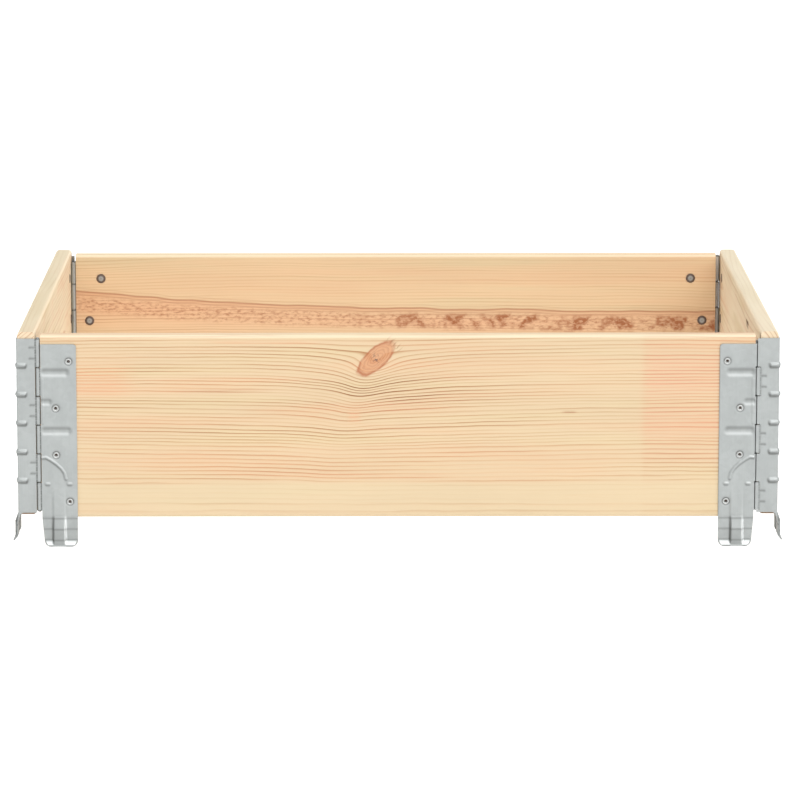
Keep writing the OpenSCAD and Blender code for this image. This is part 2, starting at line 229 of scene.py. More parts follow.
class Graph:
    """Short calls for the nodes of one material or world."""

    def __init__(self, owner, shader="Principled BSDF"):
        owner.use_nodes = True
        self.owner = owner
        self.nodes = owner.node_tree.nodes
        self.links = owner.node_tree.links
        self.shader = self.nodes[shader]

    def feed(self, socket, value):
        if isinstance(value, Num):
            self.links.new(value.socket, socket)
        elif isinstance(value, bpy.types.NodeSocket):
            self.links.new(value, socket)
        else:
            socket.default_value = value

    def surface(self, name, value):
        """Set or link one of the shader's values."""
        self.feed(self.shader.inputs[name], value)

    def math(self, operation, *values):
        node = self.nodes.new("ShaderNodeMath")
        node.operation = operation
        for socket, value in zip(node.inputs, values):
            self.feed(socket, value)
        return Num(self, node.outputs[0])

    def coordinates(self, output):
        where = self.nodes.new("ShaderNodeTexCoord")
        split = self.nodes.new("ShaderNodeSeparateXYZ")
        self.links.new(where.outputs[output], split.inputs[0])
        return [Num(self, socket) for socket in split.outputs]

    def place(self):
        """Position in the part, in millimetres."""
        return [coordinate * (1 / MM) for coordinate in self.coordinates("Object")]

    def attribute(self, name):
        node = self.nodes.new("ShaderNodeAttribute")
        node.attribute_name = name
        return Num(self, node.outputs["Fac"])

    def vector(self, x, y, z):
        node = self.nodes.new("ShaderNodeCombineXYZ")
        for socket, value in zip(node.inputs, (x, y, z)):
            self.feed(socket, value)
        return node.outputs[0]

    def noise(self, x, y, z, detail=2.0, rough=0.5):
        node = self.nodes.new("ShaderNodeTexNoise")
        self.links.new(self.vector(x, y, z), node.inputs["Vector"])
        node.inputs["Scale"].default_value = 1.0
        node.inputs["Detail"].default_value = detail
        node.inputs["Roughness"].default_value = rough
        return Num(self, node.outputs["Fac"])

    def cells(self, x, y, z):
        """A random number for each cell of a crystal pattern."""
        node = self.nodes.new("ShaderNodeTexVoronoi")
        self.links.new(self.vector(x, y, z), node.inputs["Vector"])
        node.inputs["Scale"].default_value = 1.0
        split = self.nodes.new("ShaderNodeSeparateColor")
        self.links.new(node.outputs["Color"], split.inputs[0])
        return Num(self, split.outputs[0])

    def smooth(self, value, low, high):
        node = self.nodes.new("ShaderNodeMapRange")
        node.interpolation_type = "SMOOTHSTEP"
        self.feed(node.inputs["Value"], value)
        node.inputs["From Min"].default_value = low
        node.inputs["From Max"].default_value = high
        return Num(self, node.outputs[0])

    def within(self, value, low, high, soft):
        """One between two limits, with soft edges."""
        rise = self.smooth(value, low - soft, low + soft)
        fall = self.smooth(value, high - soft, high + soft)
        return rise * (1 - fall)

    def mound(self, *offsets):
        """Falls from one at the middle to nothing, over offsets given in widths."""
        total = offsets[0].squared()
        for offset in offsets[1:]:
            total = total + offset.squared()
        return self.math("EXPONENT", total * -1.0)

    def mix(self, factor, first, second):
        node = self.nodes.new("ShaderNodeMix")
        node.data_type = "RGBA"
        self.feed(node.inputs["Factor"], factor)
        self.feed(node.inputs[6], first)
        self.feed(node.inputs[7], second)
        return node.outputs[2]

    def tint(self, color, amount):
        """A colour made lighter or darker by a number."""
        node = self.nodes.new("ShaderNodeVectorMath")
        node.operation = "SCALE"
        self.feed(node.inputs[0], color)
        self.feed(node.inputs["Scale"], amount)
        return node.outputs[0]

    def bump(self, height, distance, strength=1.0):
        node = self.nodes.new("ShaderNodeBump")
        node.inputs["Strength"].default_value = strength
        node.inputs["Distance"].default_value = distance * MM
        self.feed(node.inputs["Height"], height)
        self.surface("Normal", node.outputs[0])


def rgb(red, green, blue):
    """A display colour, 0 to 255, as the linear colour a shader takes."""
    def linear(value):
        value /= 255
        return value / 12.92 if value < 0.04045 else ((value + 0.055) / 1.055) ** 2.4
    return (linear(red), linear(green), linear(blue), 1.0)


def shade(color, amount):
    """A linear colour made lighter or darker."""
    return tuple(part * amount for part in color[:3]) + (1.0,)


# Wood

EARLY_WOOD = rgb(206, 183, 150)
SIDE_WOOD = rgb(222, 206, 177)
BACK_WOOD = rgb(213, 184, 147)
GREY_WOOD = rgb(187, 179, 159)
YELLOW_WOOD = rgb(205, 186, 149)
# Painted shade: the left board's top colour, darker because the light comes from the right
SHADED_LEFT_TOP = rgb(174, 163, 137)
PALE_WOOD = rgb(207, 191, 158)
LATE_WOOD = rgb(173, 129, 89)
DARK_LINE = rgb(138, 93, 60)
PINK_WOOD = rgb(212, 153, 118)
ROSE_WOOD = rgb(214, 152, 126)
BROWN_WOOD = rgb(154, 96, 63)
# End grain colour, partly painted shade for the dark gaps at the hinges
END_GRAIN_AND_GAP_SHADE = rgb(112, 86, 64)
# Painted highlight on rounded edges that face up
EDGE_HIGHLIGHT_WOOD = rgb(238, 222, 196)
KNOT_WOOD = rgb(203, 149, 110)
KNOT_RIM = rgb(164, 97, 65)
KNOT_CRACK = rgb(96, 78, 74)
SLIT = rgb(100, 76, 54)

# How growth rings wander, where their dark wood rises and falls, and a plain band's soft edge
RING_DRIFT = 20
RING_DRIFT_ACROSS = 8
RING_WAVER = 2.2
RING_UNEVEN = 3.2
LATE_RISE = (0.36, 0.93)
LATE_FALL = (0.94, 1.0)
PLAIN_SOFT = 3

# Upper edge of the redder heartwood and rows of blotches below it, in millimetres
HEART_START = -382
HEART_LEVEL = 157
HEART_RISE = 27
HEART_FALL = 240
HEART_WANDER = 9
HEART_ROWS = (7, 24, 4)
HEART_SPOTS_FROM = (-80, 60)


def bent_grain(graph, length, height, knots):
    """Height along the grain, which dips and rises around each knot."""
    bent = height
    for knot in knots:
        under = knot["at"][1] - height
        for flow in knot["flow"]:
            out = (length - knot["at"][0] + under * flow["lean"]) / flow["reach"]
            sunk = graph.smooth(under, -flow["above"], flow["below"])
            sunk = sunk * graph.math("EXPONENT", under / -flow["fade"])
            bent = bent + graph.mound(out) * sunk * flow["dip"]
    return bent


def near_knots(graph, length, height, knots):
    """How close a point is to the crowded grain under the knots."""
    near = 0.0
    for knot in knots:
        crowd = knot["crowd"]
        out = (length - knot["at"][0]) / crowd["across"]
        rise = (height - knot["at"][1] + crowd["below"]) / crowd["tall"]
        near = near + graph.mound(out, rise)
    return near


def add_stain(graph, color, length, depth, height, patch, texture):
    """A patch of another colour, which can be kept to the board's inner face."""
    span = graph.within(length, *patch["x"], patch["soft"][0])
    rise = graph.within(height, *patch["z"], patch["soft"][1])
    amount = span * rise * texture * patch["amount"]
    if patch["inside"]:
        amount = amount * (1 - graph.smooth(graph.math("ABSOLUTE", depth), *patch["inside"]))
    return graph.mix(amount, color, patch["color"])


def add_knot(graph, color, length, height, knot, seed):
    """A leaning oval of darker wood with thin rings, a rim and a cracked middle."""
    turn = math.radians(knot["turn"])
    out = length - knot["at"][0]
    rise = height - knot["at"][1]
    rough = graph.noise(length * 0.11 + seed, height * 0.11, 0.0, 2.0) - 0.5
    major = (out * math.cos(turn) + rise * math.sin(turn)) / knot["size"][0]
    minor = (rise * math.cos(turn) - out * math.sin(turn)) / knot["size"][1]
    reach = graph.math("SQRT", major.squared() + minor.squared()) + rough * 0.26
    inside = 1 - graph.smooth(reach, 0.8, 1.12)
    rings = graph.smooth((reach * 5.5 + rough).fract(), 0.35, 0.95)
    patchy = graph.noise(length * 0.07 + seed, height * 0.07, 3.0, 2.0)
    heart = graph.mix(rings * 0.4 + patchy * 0.2, KNOT_WOOD, KNOT_RIM)
    color = graph.mix(inside * 0.8, color, heart)
    rim = graph.mound((reach - 0.97) / 0.09) * graph.smooth(patchy, 0.25, 0.5)
    color = graph.mix(rim * 0.8, color, KNOT_RIM)
    strokes = graph.smooth((minor * 2.6 + major * 0.4 + rough * 2.0).fract(), 0.6, 0.9)
    strokes = strokes * graph.within(major, 0.9, 1.16, 0.14) * graph.within(minor, -1.1, 0.7, 0.3)
    color = graph.mix(strokes * 0.5, color, DARK_LINE)
    crack = graph.noise(length * 0.3 + seed, height * 0.3, 7.0, 2.0)
    crack = graph.smooth(crack, 0.5, 0.6) * graph.mound(out / 4.0, rise / 4.6)
    return graph.mix(crack * 0.9, color, KNOT_CRACK)


def add_heartwood(graph, color, length, height, late, seed):
    """Redder wood below a wandering line, with rows of flecks and larger blotches."""
    wander = graph.noise(length * 0.011 + seed, 0.0, 0.0, 2.0) - 0.5
    edge = graph.math("EXPONENT", (length - HEART_START) / -HEART_FALL) * HEART_RISE
    edge = edge + wander * HEART_WANDER + HEART_LEVEL
    below = edge - height
    band = graph.smooth(below, -0.6, 1.6)
    color = graph.mix(band * (0.38 - graph.smooth(below, 16, 34) * 0.22), color, PINK_WOOD)
    color = graph.mix(band * late * 0.8, color, BROWN_WOOD)
    lines = graph.mound((below - 1.0) / 1.1) * 0.65 + graph.mound((below - 4.6) / 0.8) * 0.35
    color = graph.mix(lines + graph.mound((below + 2.8) / 0.7) * 0.2, color, BROWN_WOOD)
    rows = graph.within(below, *HEART_ROWS)
    flecks = graph.noise(length * 0.15 + seed, height * 0.34, 1.0, 3.0, 0.65)
    color = graph.mix(graph.smooth(flecks, 0.42, 0.74) * rows * 0.8, color, BROWN_WOOD)
    clusters = graph.noise(length * 0.05 + seed, height * 0.05, 5.0, 1.0)
    spots = graph.noise(length * 0.2 + seed, height * 0.26, 9.0, 2.0)
    spots = graph.smooth(clusters, 0.46, 0.58) * (0.45 + graph.smooth(spots, 0.4, 0.58) * 0.55)
    return graph.mix(spots * rows * graph.smooth(length, *HEART_SPOTS_FROM), color, BROWN_WOOD)


def growth_rings(graph, length, depth, height, seed, pith, ring, knots):
    """Distance from a wandering pith, bent around the knots, and the dark part of each ring."""
    drift = graph.noise(length * 0.0024 + seed, height * 0.006, depth * 0.006, 1.0) - 0.5
    waver = graph.noise(length * 0.014 + seed, height * 0.06, depth * 0.06, 2.0) - 0.5
    up = bent_grain(graph, length, height, knots) - pith[0] + drift * RING_DRIFT
    across = depth - pith[1] + drift * RING_DRIFT_ACROSS
    radius = graph.math("SQRT", up.squared() + across.squared()) + waver * RING_WAVER
    years = graph.noise(radius * 0.035, seed, 0.0, 2.0) * RING_UNEVEN
    phase = (radius / ring + years).fract()
    late = graph.smooth(phase, *LATE_RISE) * (1 - graph.smooth(phase, *LATE_FALL))
    return radius, late.squared()


def bare_share(graph, length, height, plain, calm):
    """How far the grain fades, along a calm stretch and in plain bands."""
    bare = 0.0
    if calm:
        bare = graph.smooth(length, calm["from"], calm["full"]) * calm["amount"]
        bare = bare * (1 - graph.smooth(length, calm["to"] - calm["soft"], calm["to"] + calm["soft"]))
    for low, high, amount in plain:
        bare = 1 - (1 - amount * graph.within(height, low, high, PLAIN_SOFT)) * (1 - bare)
    return bare


def add_cut_faces(graph, color, along, height, late, grey, top, ends):
    """A greyer top in the given top colour, a painted highlight on rounded edges that face up, and dark
    end grain that is partly painted shade for the hinge gaps.
    """
    facing = graph.coordinates("Normal")
    color = graph.mix(graph.smooth(facing[2], 0.5, 0.95) * grey, color, top)
    color = graph.mix(graph.within(facing[2], 0.25, 0.88, 0.2) * 0.5, color, EDGE_HIGHLIGHT_WOOD)
    end_grain = graph.smooth(graph.math("ABSOLUTE", facing[0 if along == "X" else 1]), 0.6, 0.95)
    if along == "Y":
        color = graph.mix(end_grain * (0.1 + late * 0.9), color, BROWN_WOOD)
        end_grain = end_grain * (1 - graph.smooth(height, HINGE_TOP - 1.5, HINGE_TOP - 0.5))
    return graph.mix(end_grain * 0.85, color, ends)


def pine(name, along, seed, pith, ring, early=EARLY_WOOD, grey=0.25, bold=1.0, figure=0.0,
         top=GREY_WOOD, ends=END_GRAIN_AND_GAP_SHADE, knots=(), stains=(), plain=(), calm=None, heart=False):
    """Sawn pine as growth rings round a pith line, with knots, stains and plain bands.

    The noises are scaled per millimetre: slowly along the grain, and faster across it.
    """
    graph = Graph(bpy.data.materials.new(name))
    x, y, z = graph.place()
    length, depth = (x, y) if along == "X" else (y, x)

    radius, late = growth_rings(graph, length, depth, z, seed, pith, ring, knots)
    varied = graph.noise(length * 0.0045 + seed, radius * 0.15, 0.0, 3.0)
    crowd = near_knots(graph, length, z, knots)
    late = late * (0.2 + 0.8 * graph.smooth(varied, 0.34, 0.62)) * (bold + crowd * 0.7)
    bare = bare_share(graph, length, z, plain, calm)
    late = late * (1 - bare)

    fibre = graph.noise(length * 0.018 + seed, z * 1.5, depth * 1.5, 3.0, 0.6)
    tone = graph.noise(length * 0.005 + seed, z * 0.035, depth * 0.035, 2.0)
    warm = graph.noise(length * 0.004, z * 0.05 + seed, depth * 0.03, 2.0)
    streak = graph.smooth(fibre, 0.52, 0.72)
    color = graph.mix((1 - graph.smooth(warm, 0.3, 0.5)) * 0.6, early, YELLOW_WOOD)
    color = graph.mix(bare * 0.5, color, PALE_WOOD)
    color = graph.mix(late * 0.95 + streak * 0.14 * bold, color, LATE_WOOD)
    dark = graph.smooth(varied, 0.54, 0.72) * 0.4 + crowd * graph.smooth(varied, 0.38, 0.58) * 1.1
    color = graph.mix(late * dark, color, DARK_LINE)
    blush = graph.smooth(warm, 0.46, 0.7) * (1 - bare)
    color = graph.mix(blush * (0.14 + late * 0.36), color, PINK_WOOD)
    color = graph.tint(color, 0.91 + fibre * 0.12 + tone * 0.1)
    if figure:
        clouds = graph.noise(length * 0.02 + seed, z * 0.035, depth * 0.02, 2.0)
        color = graph.mix(graph.smooth(clouds, 0.5, 0.72) * figure, color, PINK_WOOD)
    if heart:
        color = add_heartwood(graph, color, length, z, late, seed)
    texture = graph.smooth(fibre * 0.8 + late * 0.9, 0.2, 0.75)
    for patch in stains:
        color = add_stain(graph, color, length, depth, z, patch, texture)
    for knot in knots:
        color = add_knot(graph, color, length, z, knot, seed)
    color = add_cut_faces(graph, color, along, z, late, grey, top, ends)
    graph.surface("Base Color", color)
    graph.surface("Roughness", 0.55 + fibre * 0.25)
    graph.surface("Specular IOR Level", 0.25)
    graph.bump(fibre * 0.6 - late * 0.5, 0.2, 0.5)
    return graph.owner


def stain(x, z, soft, amount, color, inside=None):
    """A patch by its span along and up the board, its soft edges both ways, and its strength."""
    return {"x": x, "z": z, "soft": soft, "amount": amount, "color": color, "inside": inside}


# Marks in the boards, in millimetres along and up: plain bands are low, high and strength
FRONT_KNOT = {
    "at": (-23, 200),
    "size": (24, 10.5),
    "turn": 43,
    "flow": (
        {"reach": 21, "above": 10, "below": 14, "fade": 40, "dip": 13, "lean": 0.45},
        {"reach": 62, "above": 26, "below": 16, "fade": 55, "dip": 11.5, "lean": 0.25},
    ),
    "crowd": {"across": 75, "below": 40, "tall": 20},
}
FRONT_STAINS = (
    stain((258, 360), (96, 212), (8, 24), 0.36, ROSE_WOOD),
    stain((264, 360), (166, 206), (9, 10), 0.26, ROSE_WOOD),
    stain((-350, -285), (160, 194), (18, 9), 0.55, PINK_WOOD),
    stain((-226, -146), (164, 167), (25, 1.4), 0.4, BROWN_WOOD),
    stain((-192, -84), (216, 219), (25, 1.6), 0.7, PINK_WOOD),
    stain((-52, -40), (132, 144), (4, 4), 0.5, PINK_WOOD),
    stain((-340, 240), (72, 110), (40, 8), 0.2, PINK_WOOD),
    stain((174, 187), (142.0, 144.2), (4, 1.0), 0.9, BROWN_WOOD),
)
RIGHT_STAINS = (stain((-132, -104), (203, 211), (7, 2.5), 1.6, SLIT, (HALF_X - 14, HALF_X - 8)),)
FRONT_PLAIN = ((44, 66, 0.88), (20, 44, 0.6), (66, 110, 0.15))
FRONT_CALM = {"from": -20, "full": 200, "to": 258, "soft": 4, "amount": 0.36}

BOARD_WOOD = {
    "front_board": pine(
        "pine_front", "X", seed=3.0, pith=(10, -235), ring=3.4,
        knots=(FRONT_KNOT,), stains=FRONT_STAINS, plain=FRONT_PLAIN, calm=FRONT_CALM),
    "back_board": pine(
        "pine_back", "X", seed=17.0, pith=(60, 230), ring=3.3,
        early=BACK_WOOD, bold=0.36, ends=BACK_WOOD, heart=True),
    # The left board's top takes the painted shade colour
    "left_board": pine(
        "pine_left", "Y", seed=31.0, pith=(150, -335), ring=4.0,
        early=SIDE_WOOD, grey=0.6, bold=0.4, figure=0.12, top=SHADED_LEFT_TOP),
    "right_board": pine(
        "pine_right", "Y", seed=47.0, pith=(190, 340), ring=4.4,
        early=SIDE_WOOD, grey=0.6, bold=0.4, figure=0.1, stains=RIGHT_STAINS),
}
for board, wood in BOARD_WOOD.items():
    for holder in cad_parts[board].material_slots:
        holder.material = wood


# Zinc

# Colours of the painted shade and of the painted highlight on the zinc
ZINC_SHADE = rgb(104, 106, 104)
ZINC_HIGHLIGHT = rgb(238, 241, 241)
# Painted shade colour on the rivets
RIVET_SHADE = rgb(90, 66, 52)


def zinc(name, base, painted_dark, seed):
    """Galvanised steel: fine spangle, painted shade where the painted shading is above nothing, and a
    paler, less metallic painted highlight below.
    """
    graph = Graph(bpy.data.materials.new(name))
    x, y, z = graph.place()
    spangle = graph.cells(x * 0.22 + seed, y * 0.22, z * 0.22)
    cloud = graph.noise(x * 0.05 + seed, y * 0.05, z * 0.03, 3.0)
    grain = graph.noise(x * 1.6, y * 1.6, z * 1.6 + seed, 3.0, 0.6)
    drawn = graph.noise(x * 0.9 + seed, y * 0.9, z * 0.03, 2.0)
    level = graph.attribute("painted_shading")
    painted_shading = graph.math("MAXIMUM", level, 0.0)
    painted_highlight = graph.math("MAXIMUM", level * -1.0, 0.0)
    color = graph.mix(cloud, base, shade(base, 0.8))
    color = graph.tint(color, 0.86 + spangle * 0.08 + grain * 0.16 + drawn * 0.08)
    color = graph.mix(painted_highlight, color, ZINC_HIGHLIGHT)
    color = graph.mix(painted_shading * 0.85, color, painted_dark)
    graph.surface("Base Color", color)
    graph.surface("Metallic", 0.75 - painted_highlight * 0.6)
    graph.surface("Roughness", 0.34 + spangle * 0.08 + cloud * 0.12 + painted_shading * 0.2)
    graph.bump(grain + spangle * 0.4, 0.04, 0.35)
    return graph.owner


# Pressed hinge leaves

# Painted shading from minus one, for a painted highlight, to one, for full painted shade, and where it
# lies
DOWN_FACING_SHADE = 0.7
HOLLOW_SHADE = 0.35
RIB_END_SHADE = 0.7
DENT_SHADE = 0.4
FOOT_BEND_SHADE = 0.45
SIDE_FOOT_DARKENING = 0.35
FREE_EDGE_SHADE = 0.5
RIVET_RING_SHADE = 0.75
RIVET_RING = (3.7, 0.6)
LIP_EDGE_SECTION = (0.7, 0.8)
FREE_EDGE_SECTION = (0.3, 0.8)
TAB_SHADE = {"outer": 0.9, "inner": 0.6}
JOINT_SHADE = 0.9
PLATE_HIGHLIGHT = 0.4
WRAP_HIGHLIGHT = 0.9
BARREL_PAINTED_LIGHT = 0.8


def ease(value):
    value = np.clip(value, 0.0, 1.0)
    return value * value * (3 - 2 * value)


def ridge(away, section):
    """One up to a flat half-width from a line, falling to nothing over the wall beyond it."""
    flat, wall = section
    return 1 - ease((away - flat) / wall)


def apart(u, z, path):
    """Distance from each point of the sheet to a line of points."""
    best = np.full(np.broadcast(u, z).shape, 1e9)
    for (u0, z0), (u1, z1) in zip(path[:-1], path[1:]):
        run, rise = u1 - u0, z1 - z0
        along = ((u - u0) * run + (z - z0) * rise) / (run * run + rise * rise)
        along = np.clip(along, 0.0, 1.0)
        best = np.minimum(best, np.hypot(u - u0 - along * run, z - z0 - along * rise))
    return best


def pressed(u, z, path, section):
    """A pressing with the given section along a path."""
    return ridge(apart(u, z, path), section)


def foot_profile(z):
    """How far the flanks of a foot stand out at each height."""
    heights = np.arange(-10, BOARD_BASE + 20, 0.1)
    stations = (0, FOOT_LIP, BOARD_BASE - FOOT_FLARE, BOARD_BASE)
    stands = (FOOT_STEP + FOOT_LIP_FLARE, FOOT_STEP, FOOT_STEP, 0)
    slope = FOOT_LIP_FLARE / FOOT_LIP
    raw = np.interp(heights, stations, stands) + np.maximum(-heights, 0) * slope
    window = np.hanning(19)
    return np.interp(z, heights, np.convolve(raw, window / window.sum(), mode="same"))


def rivet_distances(far, z):
    """Distance from each point of a plate to each of its rivets."""
    for across, height in RIVET_PLACES:
        yield np.hypot(far - across, z - height)


def channel_share(far):
    """One across the foot's raised channel, falling to nothing down its walls."""
    middle = END_WIDTH / 2 - CHANNEL_SHIFT
    return ridge(np.abs(far - middle), (CHANNEL_WIDTH / 2 - CHANNEL_WALL, CHANNEL_WALL))


def plate_relief(u, z, width, seed):
    """Pressings of the flat plate and its foot, outward, with u from the board's end."""
    shift = width - END_WIDTH
    far = u - shift
    along_wave, up_wave = WAVE_LENGTHS
    relief = WAVE_RISE * np.sin(u / along_wave + seed) + WAVE_RISE * np.sin(z / up_wave + 2 * seed)
    for groove in GROOVES:
        path = [(groove["from"] - shift, groove["z"]), (groove["to"], groove["z"])]
        relief -= groove["depth"] * pressed(far, z, path, groove["section"])
    for middle in DIMPLES:
        path = [(middle - DIMPLE_HALF, DIMPLE_Z), (middle + DIMPLE_HALF, DIMPLE_Z)]
        relief += DIMPLE_RISE * pressed(far, z, path, DIMPLE_SECTION)
    path = [(ARCH_START[0] - shift, ARCH_START[1]), *ARCH]
    relief += ARCH_RISE * pressed(far, z, path, ARCH_SECTION)
    relief += BEAD_RISE * pressed(u, z, BEAD, BEAD_SECTION)
    for away in rivet_distances(far, z):
        relief -= RIVET_DISH_DEPTH * ridge(away, RIVET_DISH_SECTION)
    flank = foot_profile(z)
    reach = FOOT_STEP + CHANNEL_DEPTH
    ramp = np.clip((BOARD_BASE + CHANNEL_RISE - z) / (FOOT_FLARE + CHANNEL_RISE), 0, 1) * reach
    faint = CHANNEL_FAINT * ease((CHANNEL_FADE - z) / CHANNEL_FADE_SPAN)
    channel = np.maximum(np.maximum(ramp, faint) - flank, 0)
    on_board = ease((z - BOARD_BASE + FOOT_BLEND) / (2 * FOOT_BLEND))
    return relief * on_board + flank + channel * channel_share(far)


def wrap_ribs(run, z, hinge_top):
    """Ribs over the outer bend, with run from the bend."""
    relief = np.zeros(np.broadcast(run, z).shape)
    for joint in range(1, KNUCKLES):
        height = hinge_top - joint * KNUCKLE_PITCH + RIB_LIFT
        low_bend = 1 - RIB_DIP * np.exp(-(run / RIB_DIP_REACH) ** 2)
        across = ridge(np.abs(z - height), RIB_SECTION)
        relief += RIB_HEIGHT * low_bend * across * ridge(np.abs(run), (RIB_REACH, RIB_END))
    return relief


def wrap_dents(run, z, form, hinge_top):
    """Where two small dents are struck beside each knuckle of a wrapped leaf."""
    dents = np.zeros(np.broadcast(run, z).shape)
    for knuckle in OWN_KNUCKLES[(form, "side")]:
        for share in DENT_SHARES:
            height = hinge_top - (knuckle + share) * KNUCKLE_PITCH
            dents += pressed(run, z, [(end, height) for end in DENT_SPAN], DENT_SECTION)
    return dents


def arc(center, radius, start, sweep, count):
    angles = np.radians(start) + np.linspace(0, 1, count + 1) * sweep
    return [(center[0] + radius * math.cos(a), center[1] + radius * math.sin(a)) for a in angles]


def line(start, end, step=GRID_STEP):
    count = max(2, round(math.dist(start, end) / step))
    return [tuple(np.add(start, np.subtract(end, start) * k / count)) for k in range(count + 1)]


def sway(start, end):
    """A soft double bend between two level stretches."""
    (x0, y0), (x1, y1) = start, end
    shares = np.linspace(0, 1, SWAY_STEPS + 1)
    return [(x0 + (x1 - x0) * share, y0 + (y1 - y0) * ease(share)) for share in shares]


def bent_path(form, kind):
    """Outer face of the sheet beyond the plate, from the board's end: wrap points, then tab points."""
    quarter = -math.pi / 2
    hinge = END_START - PIN_INSET
    wrap = []
    if kind == "side":
        past = BOARD + (TAB_REACH if form == "inner" else 0)
        wrap = arc((0, 0), SHEET, -90, quarter, BEND_STEPS) + line((-SHEET, 0), (-SHEET, past))[1:]
    if (form, kind) == ("outer", "end"):
        tab = line((0, -SHEET), (-hinge, -SHEET), TAB_STEP)
        tab += arc((-hinge, OUTER_PIN_DEPTH), KNUCKLE_RADIUS, -90, -CURL_SWEEP, CURL_STEPS)[1:]
    elif (form, kind) == ("outer", "side"):
        tab = line((-SHEET, BOARD), (-SHEET, PIN_INSET), TAB_STEP)
        tab += arc((OUTER_PIN_DEPTH, PIN_INSET), KNUCKLE_RADIUS, 180, -CURL_SWEEP, CURL_STEPS)[1:]
    elif (form, kind) == ("inner", "end"):
        tab = [(0, -SHEET)] + arc((-TAB_LEDGE, TAB_BEND - SHEET), TAB_BEND, -90, quarter, BEND_STEPS)
        tab += line(tab[-1], (KNUCKLE_BORE - hinge, INNER_PIN_DEPTH))[1:]
        tab += arc((-hinge, INNER_PIN_DEPTH), KNUCKLE_BORE, 0, CURL_SWEEP, CURL_STEPS)[1:]
    else:
        face = past + TAB_LEDGE + TAB_BEND
        bend = TAB_BEND - SHEET
        beyond = PIN_INSET + KNUCKLE_RADIUS
        tab = [(-SHEET, past)] + arc((bend, past + TAB_LEDGE), TAB_BEND, 180, quarter, BEND_STEPS)
        tab += line((bend, face), (SWAY[0], face))[1:]
        tab += sway((SWAY[0], face), (SWAY[1], beyond))[1:]
        tab += line((SWAY[1], beyond), (INNER_PIN_DEPTH, beyond))[1:]
        tab += arc((INNER_PIN_DEPTH, PIN_INSET), KNUCKLE_RADIUS, 90, -CURL_SWEEP, CURL_STEPS)[1:]
    return wrap, tab


def leaf_levels(kind):
    """Top of the plate, and top and bottom of the hinge, above the floor under the leaf's own board."""
    if kind == "end":
        return END_TOP, HINGE_TOP, HINGE_BASE
    return HINGE_TOP - SIDE_RISE, HINGE_TOP - SIDE_RISE, HINGE_BASE - SIDE_RISE


def leaf_rows(kind):
    """Heights of the grid's rows, and the knuckle that each space between two rows lies in."""
    plate_top, hinge_top, hinge_base = leaf_levels(kind)
    edges = [(BOARD_BASE, -1), (hinge_base, -1)]
    for knuckle in reversed(range(KNUCKLES)):
        top = hinge_top - knuckle * KNUCKLE_PITCH
        edges.append((top - KNUCKLE_PITCH + KNUCKLE_GAP / 2, -1))
        edges.append((min(top - KNUCKLE_GAP / 2, plate_top), knuckle))
    edges.append((plate_top, -1))
    turns = np.linspace(0, math.pi / 2, FOOT_CORNER_STEPS)
    rows = list(FOOT_CORNER * (1 - np.cos(turns)))
    spaces = [-1] * (len(rows) - 1)
    for height, knuckle in edges:
        low = rows[-1]
        count = math.ceil((height - low) / GRID_STEP - 1e-6)
        for k in range(1, count + 1):
            rows.append(low + (height - low) * k / count)
            spaces.append(knuckle)
    return np.array(rows), spaces


def leaf_edges(rows, width, plate_top):
    """Where the plate ends on its hinge side and on its free side at each height."""
    near_floor = np.maximum(FOOT_CORNER - rows, 0)
    round_off = FOOT_CORNER - np.sqrt(np.maximum(FOOT_CORNER ** 2 - near_floor ** 2, 0))
    low = FOOT_TAPER * np.clip((BOARD_BASE - rows) / BOARD_BASE, 0, 1) + round_off
    high = width - round_off
    near_top = np.maximum(LEAF_CORNER - (plate_top - rows), 0)
    high -= LEAF_CORNER - np.sqrt(LEAF_CORNER ** 2 - near_top ** 2)
    return low, high


def cell_middles(grid):
    return (grid[1:, 1:] + grid[:-1, :-1]) / 2


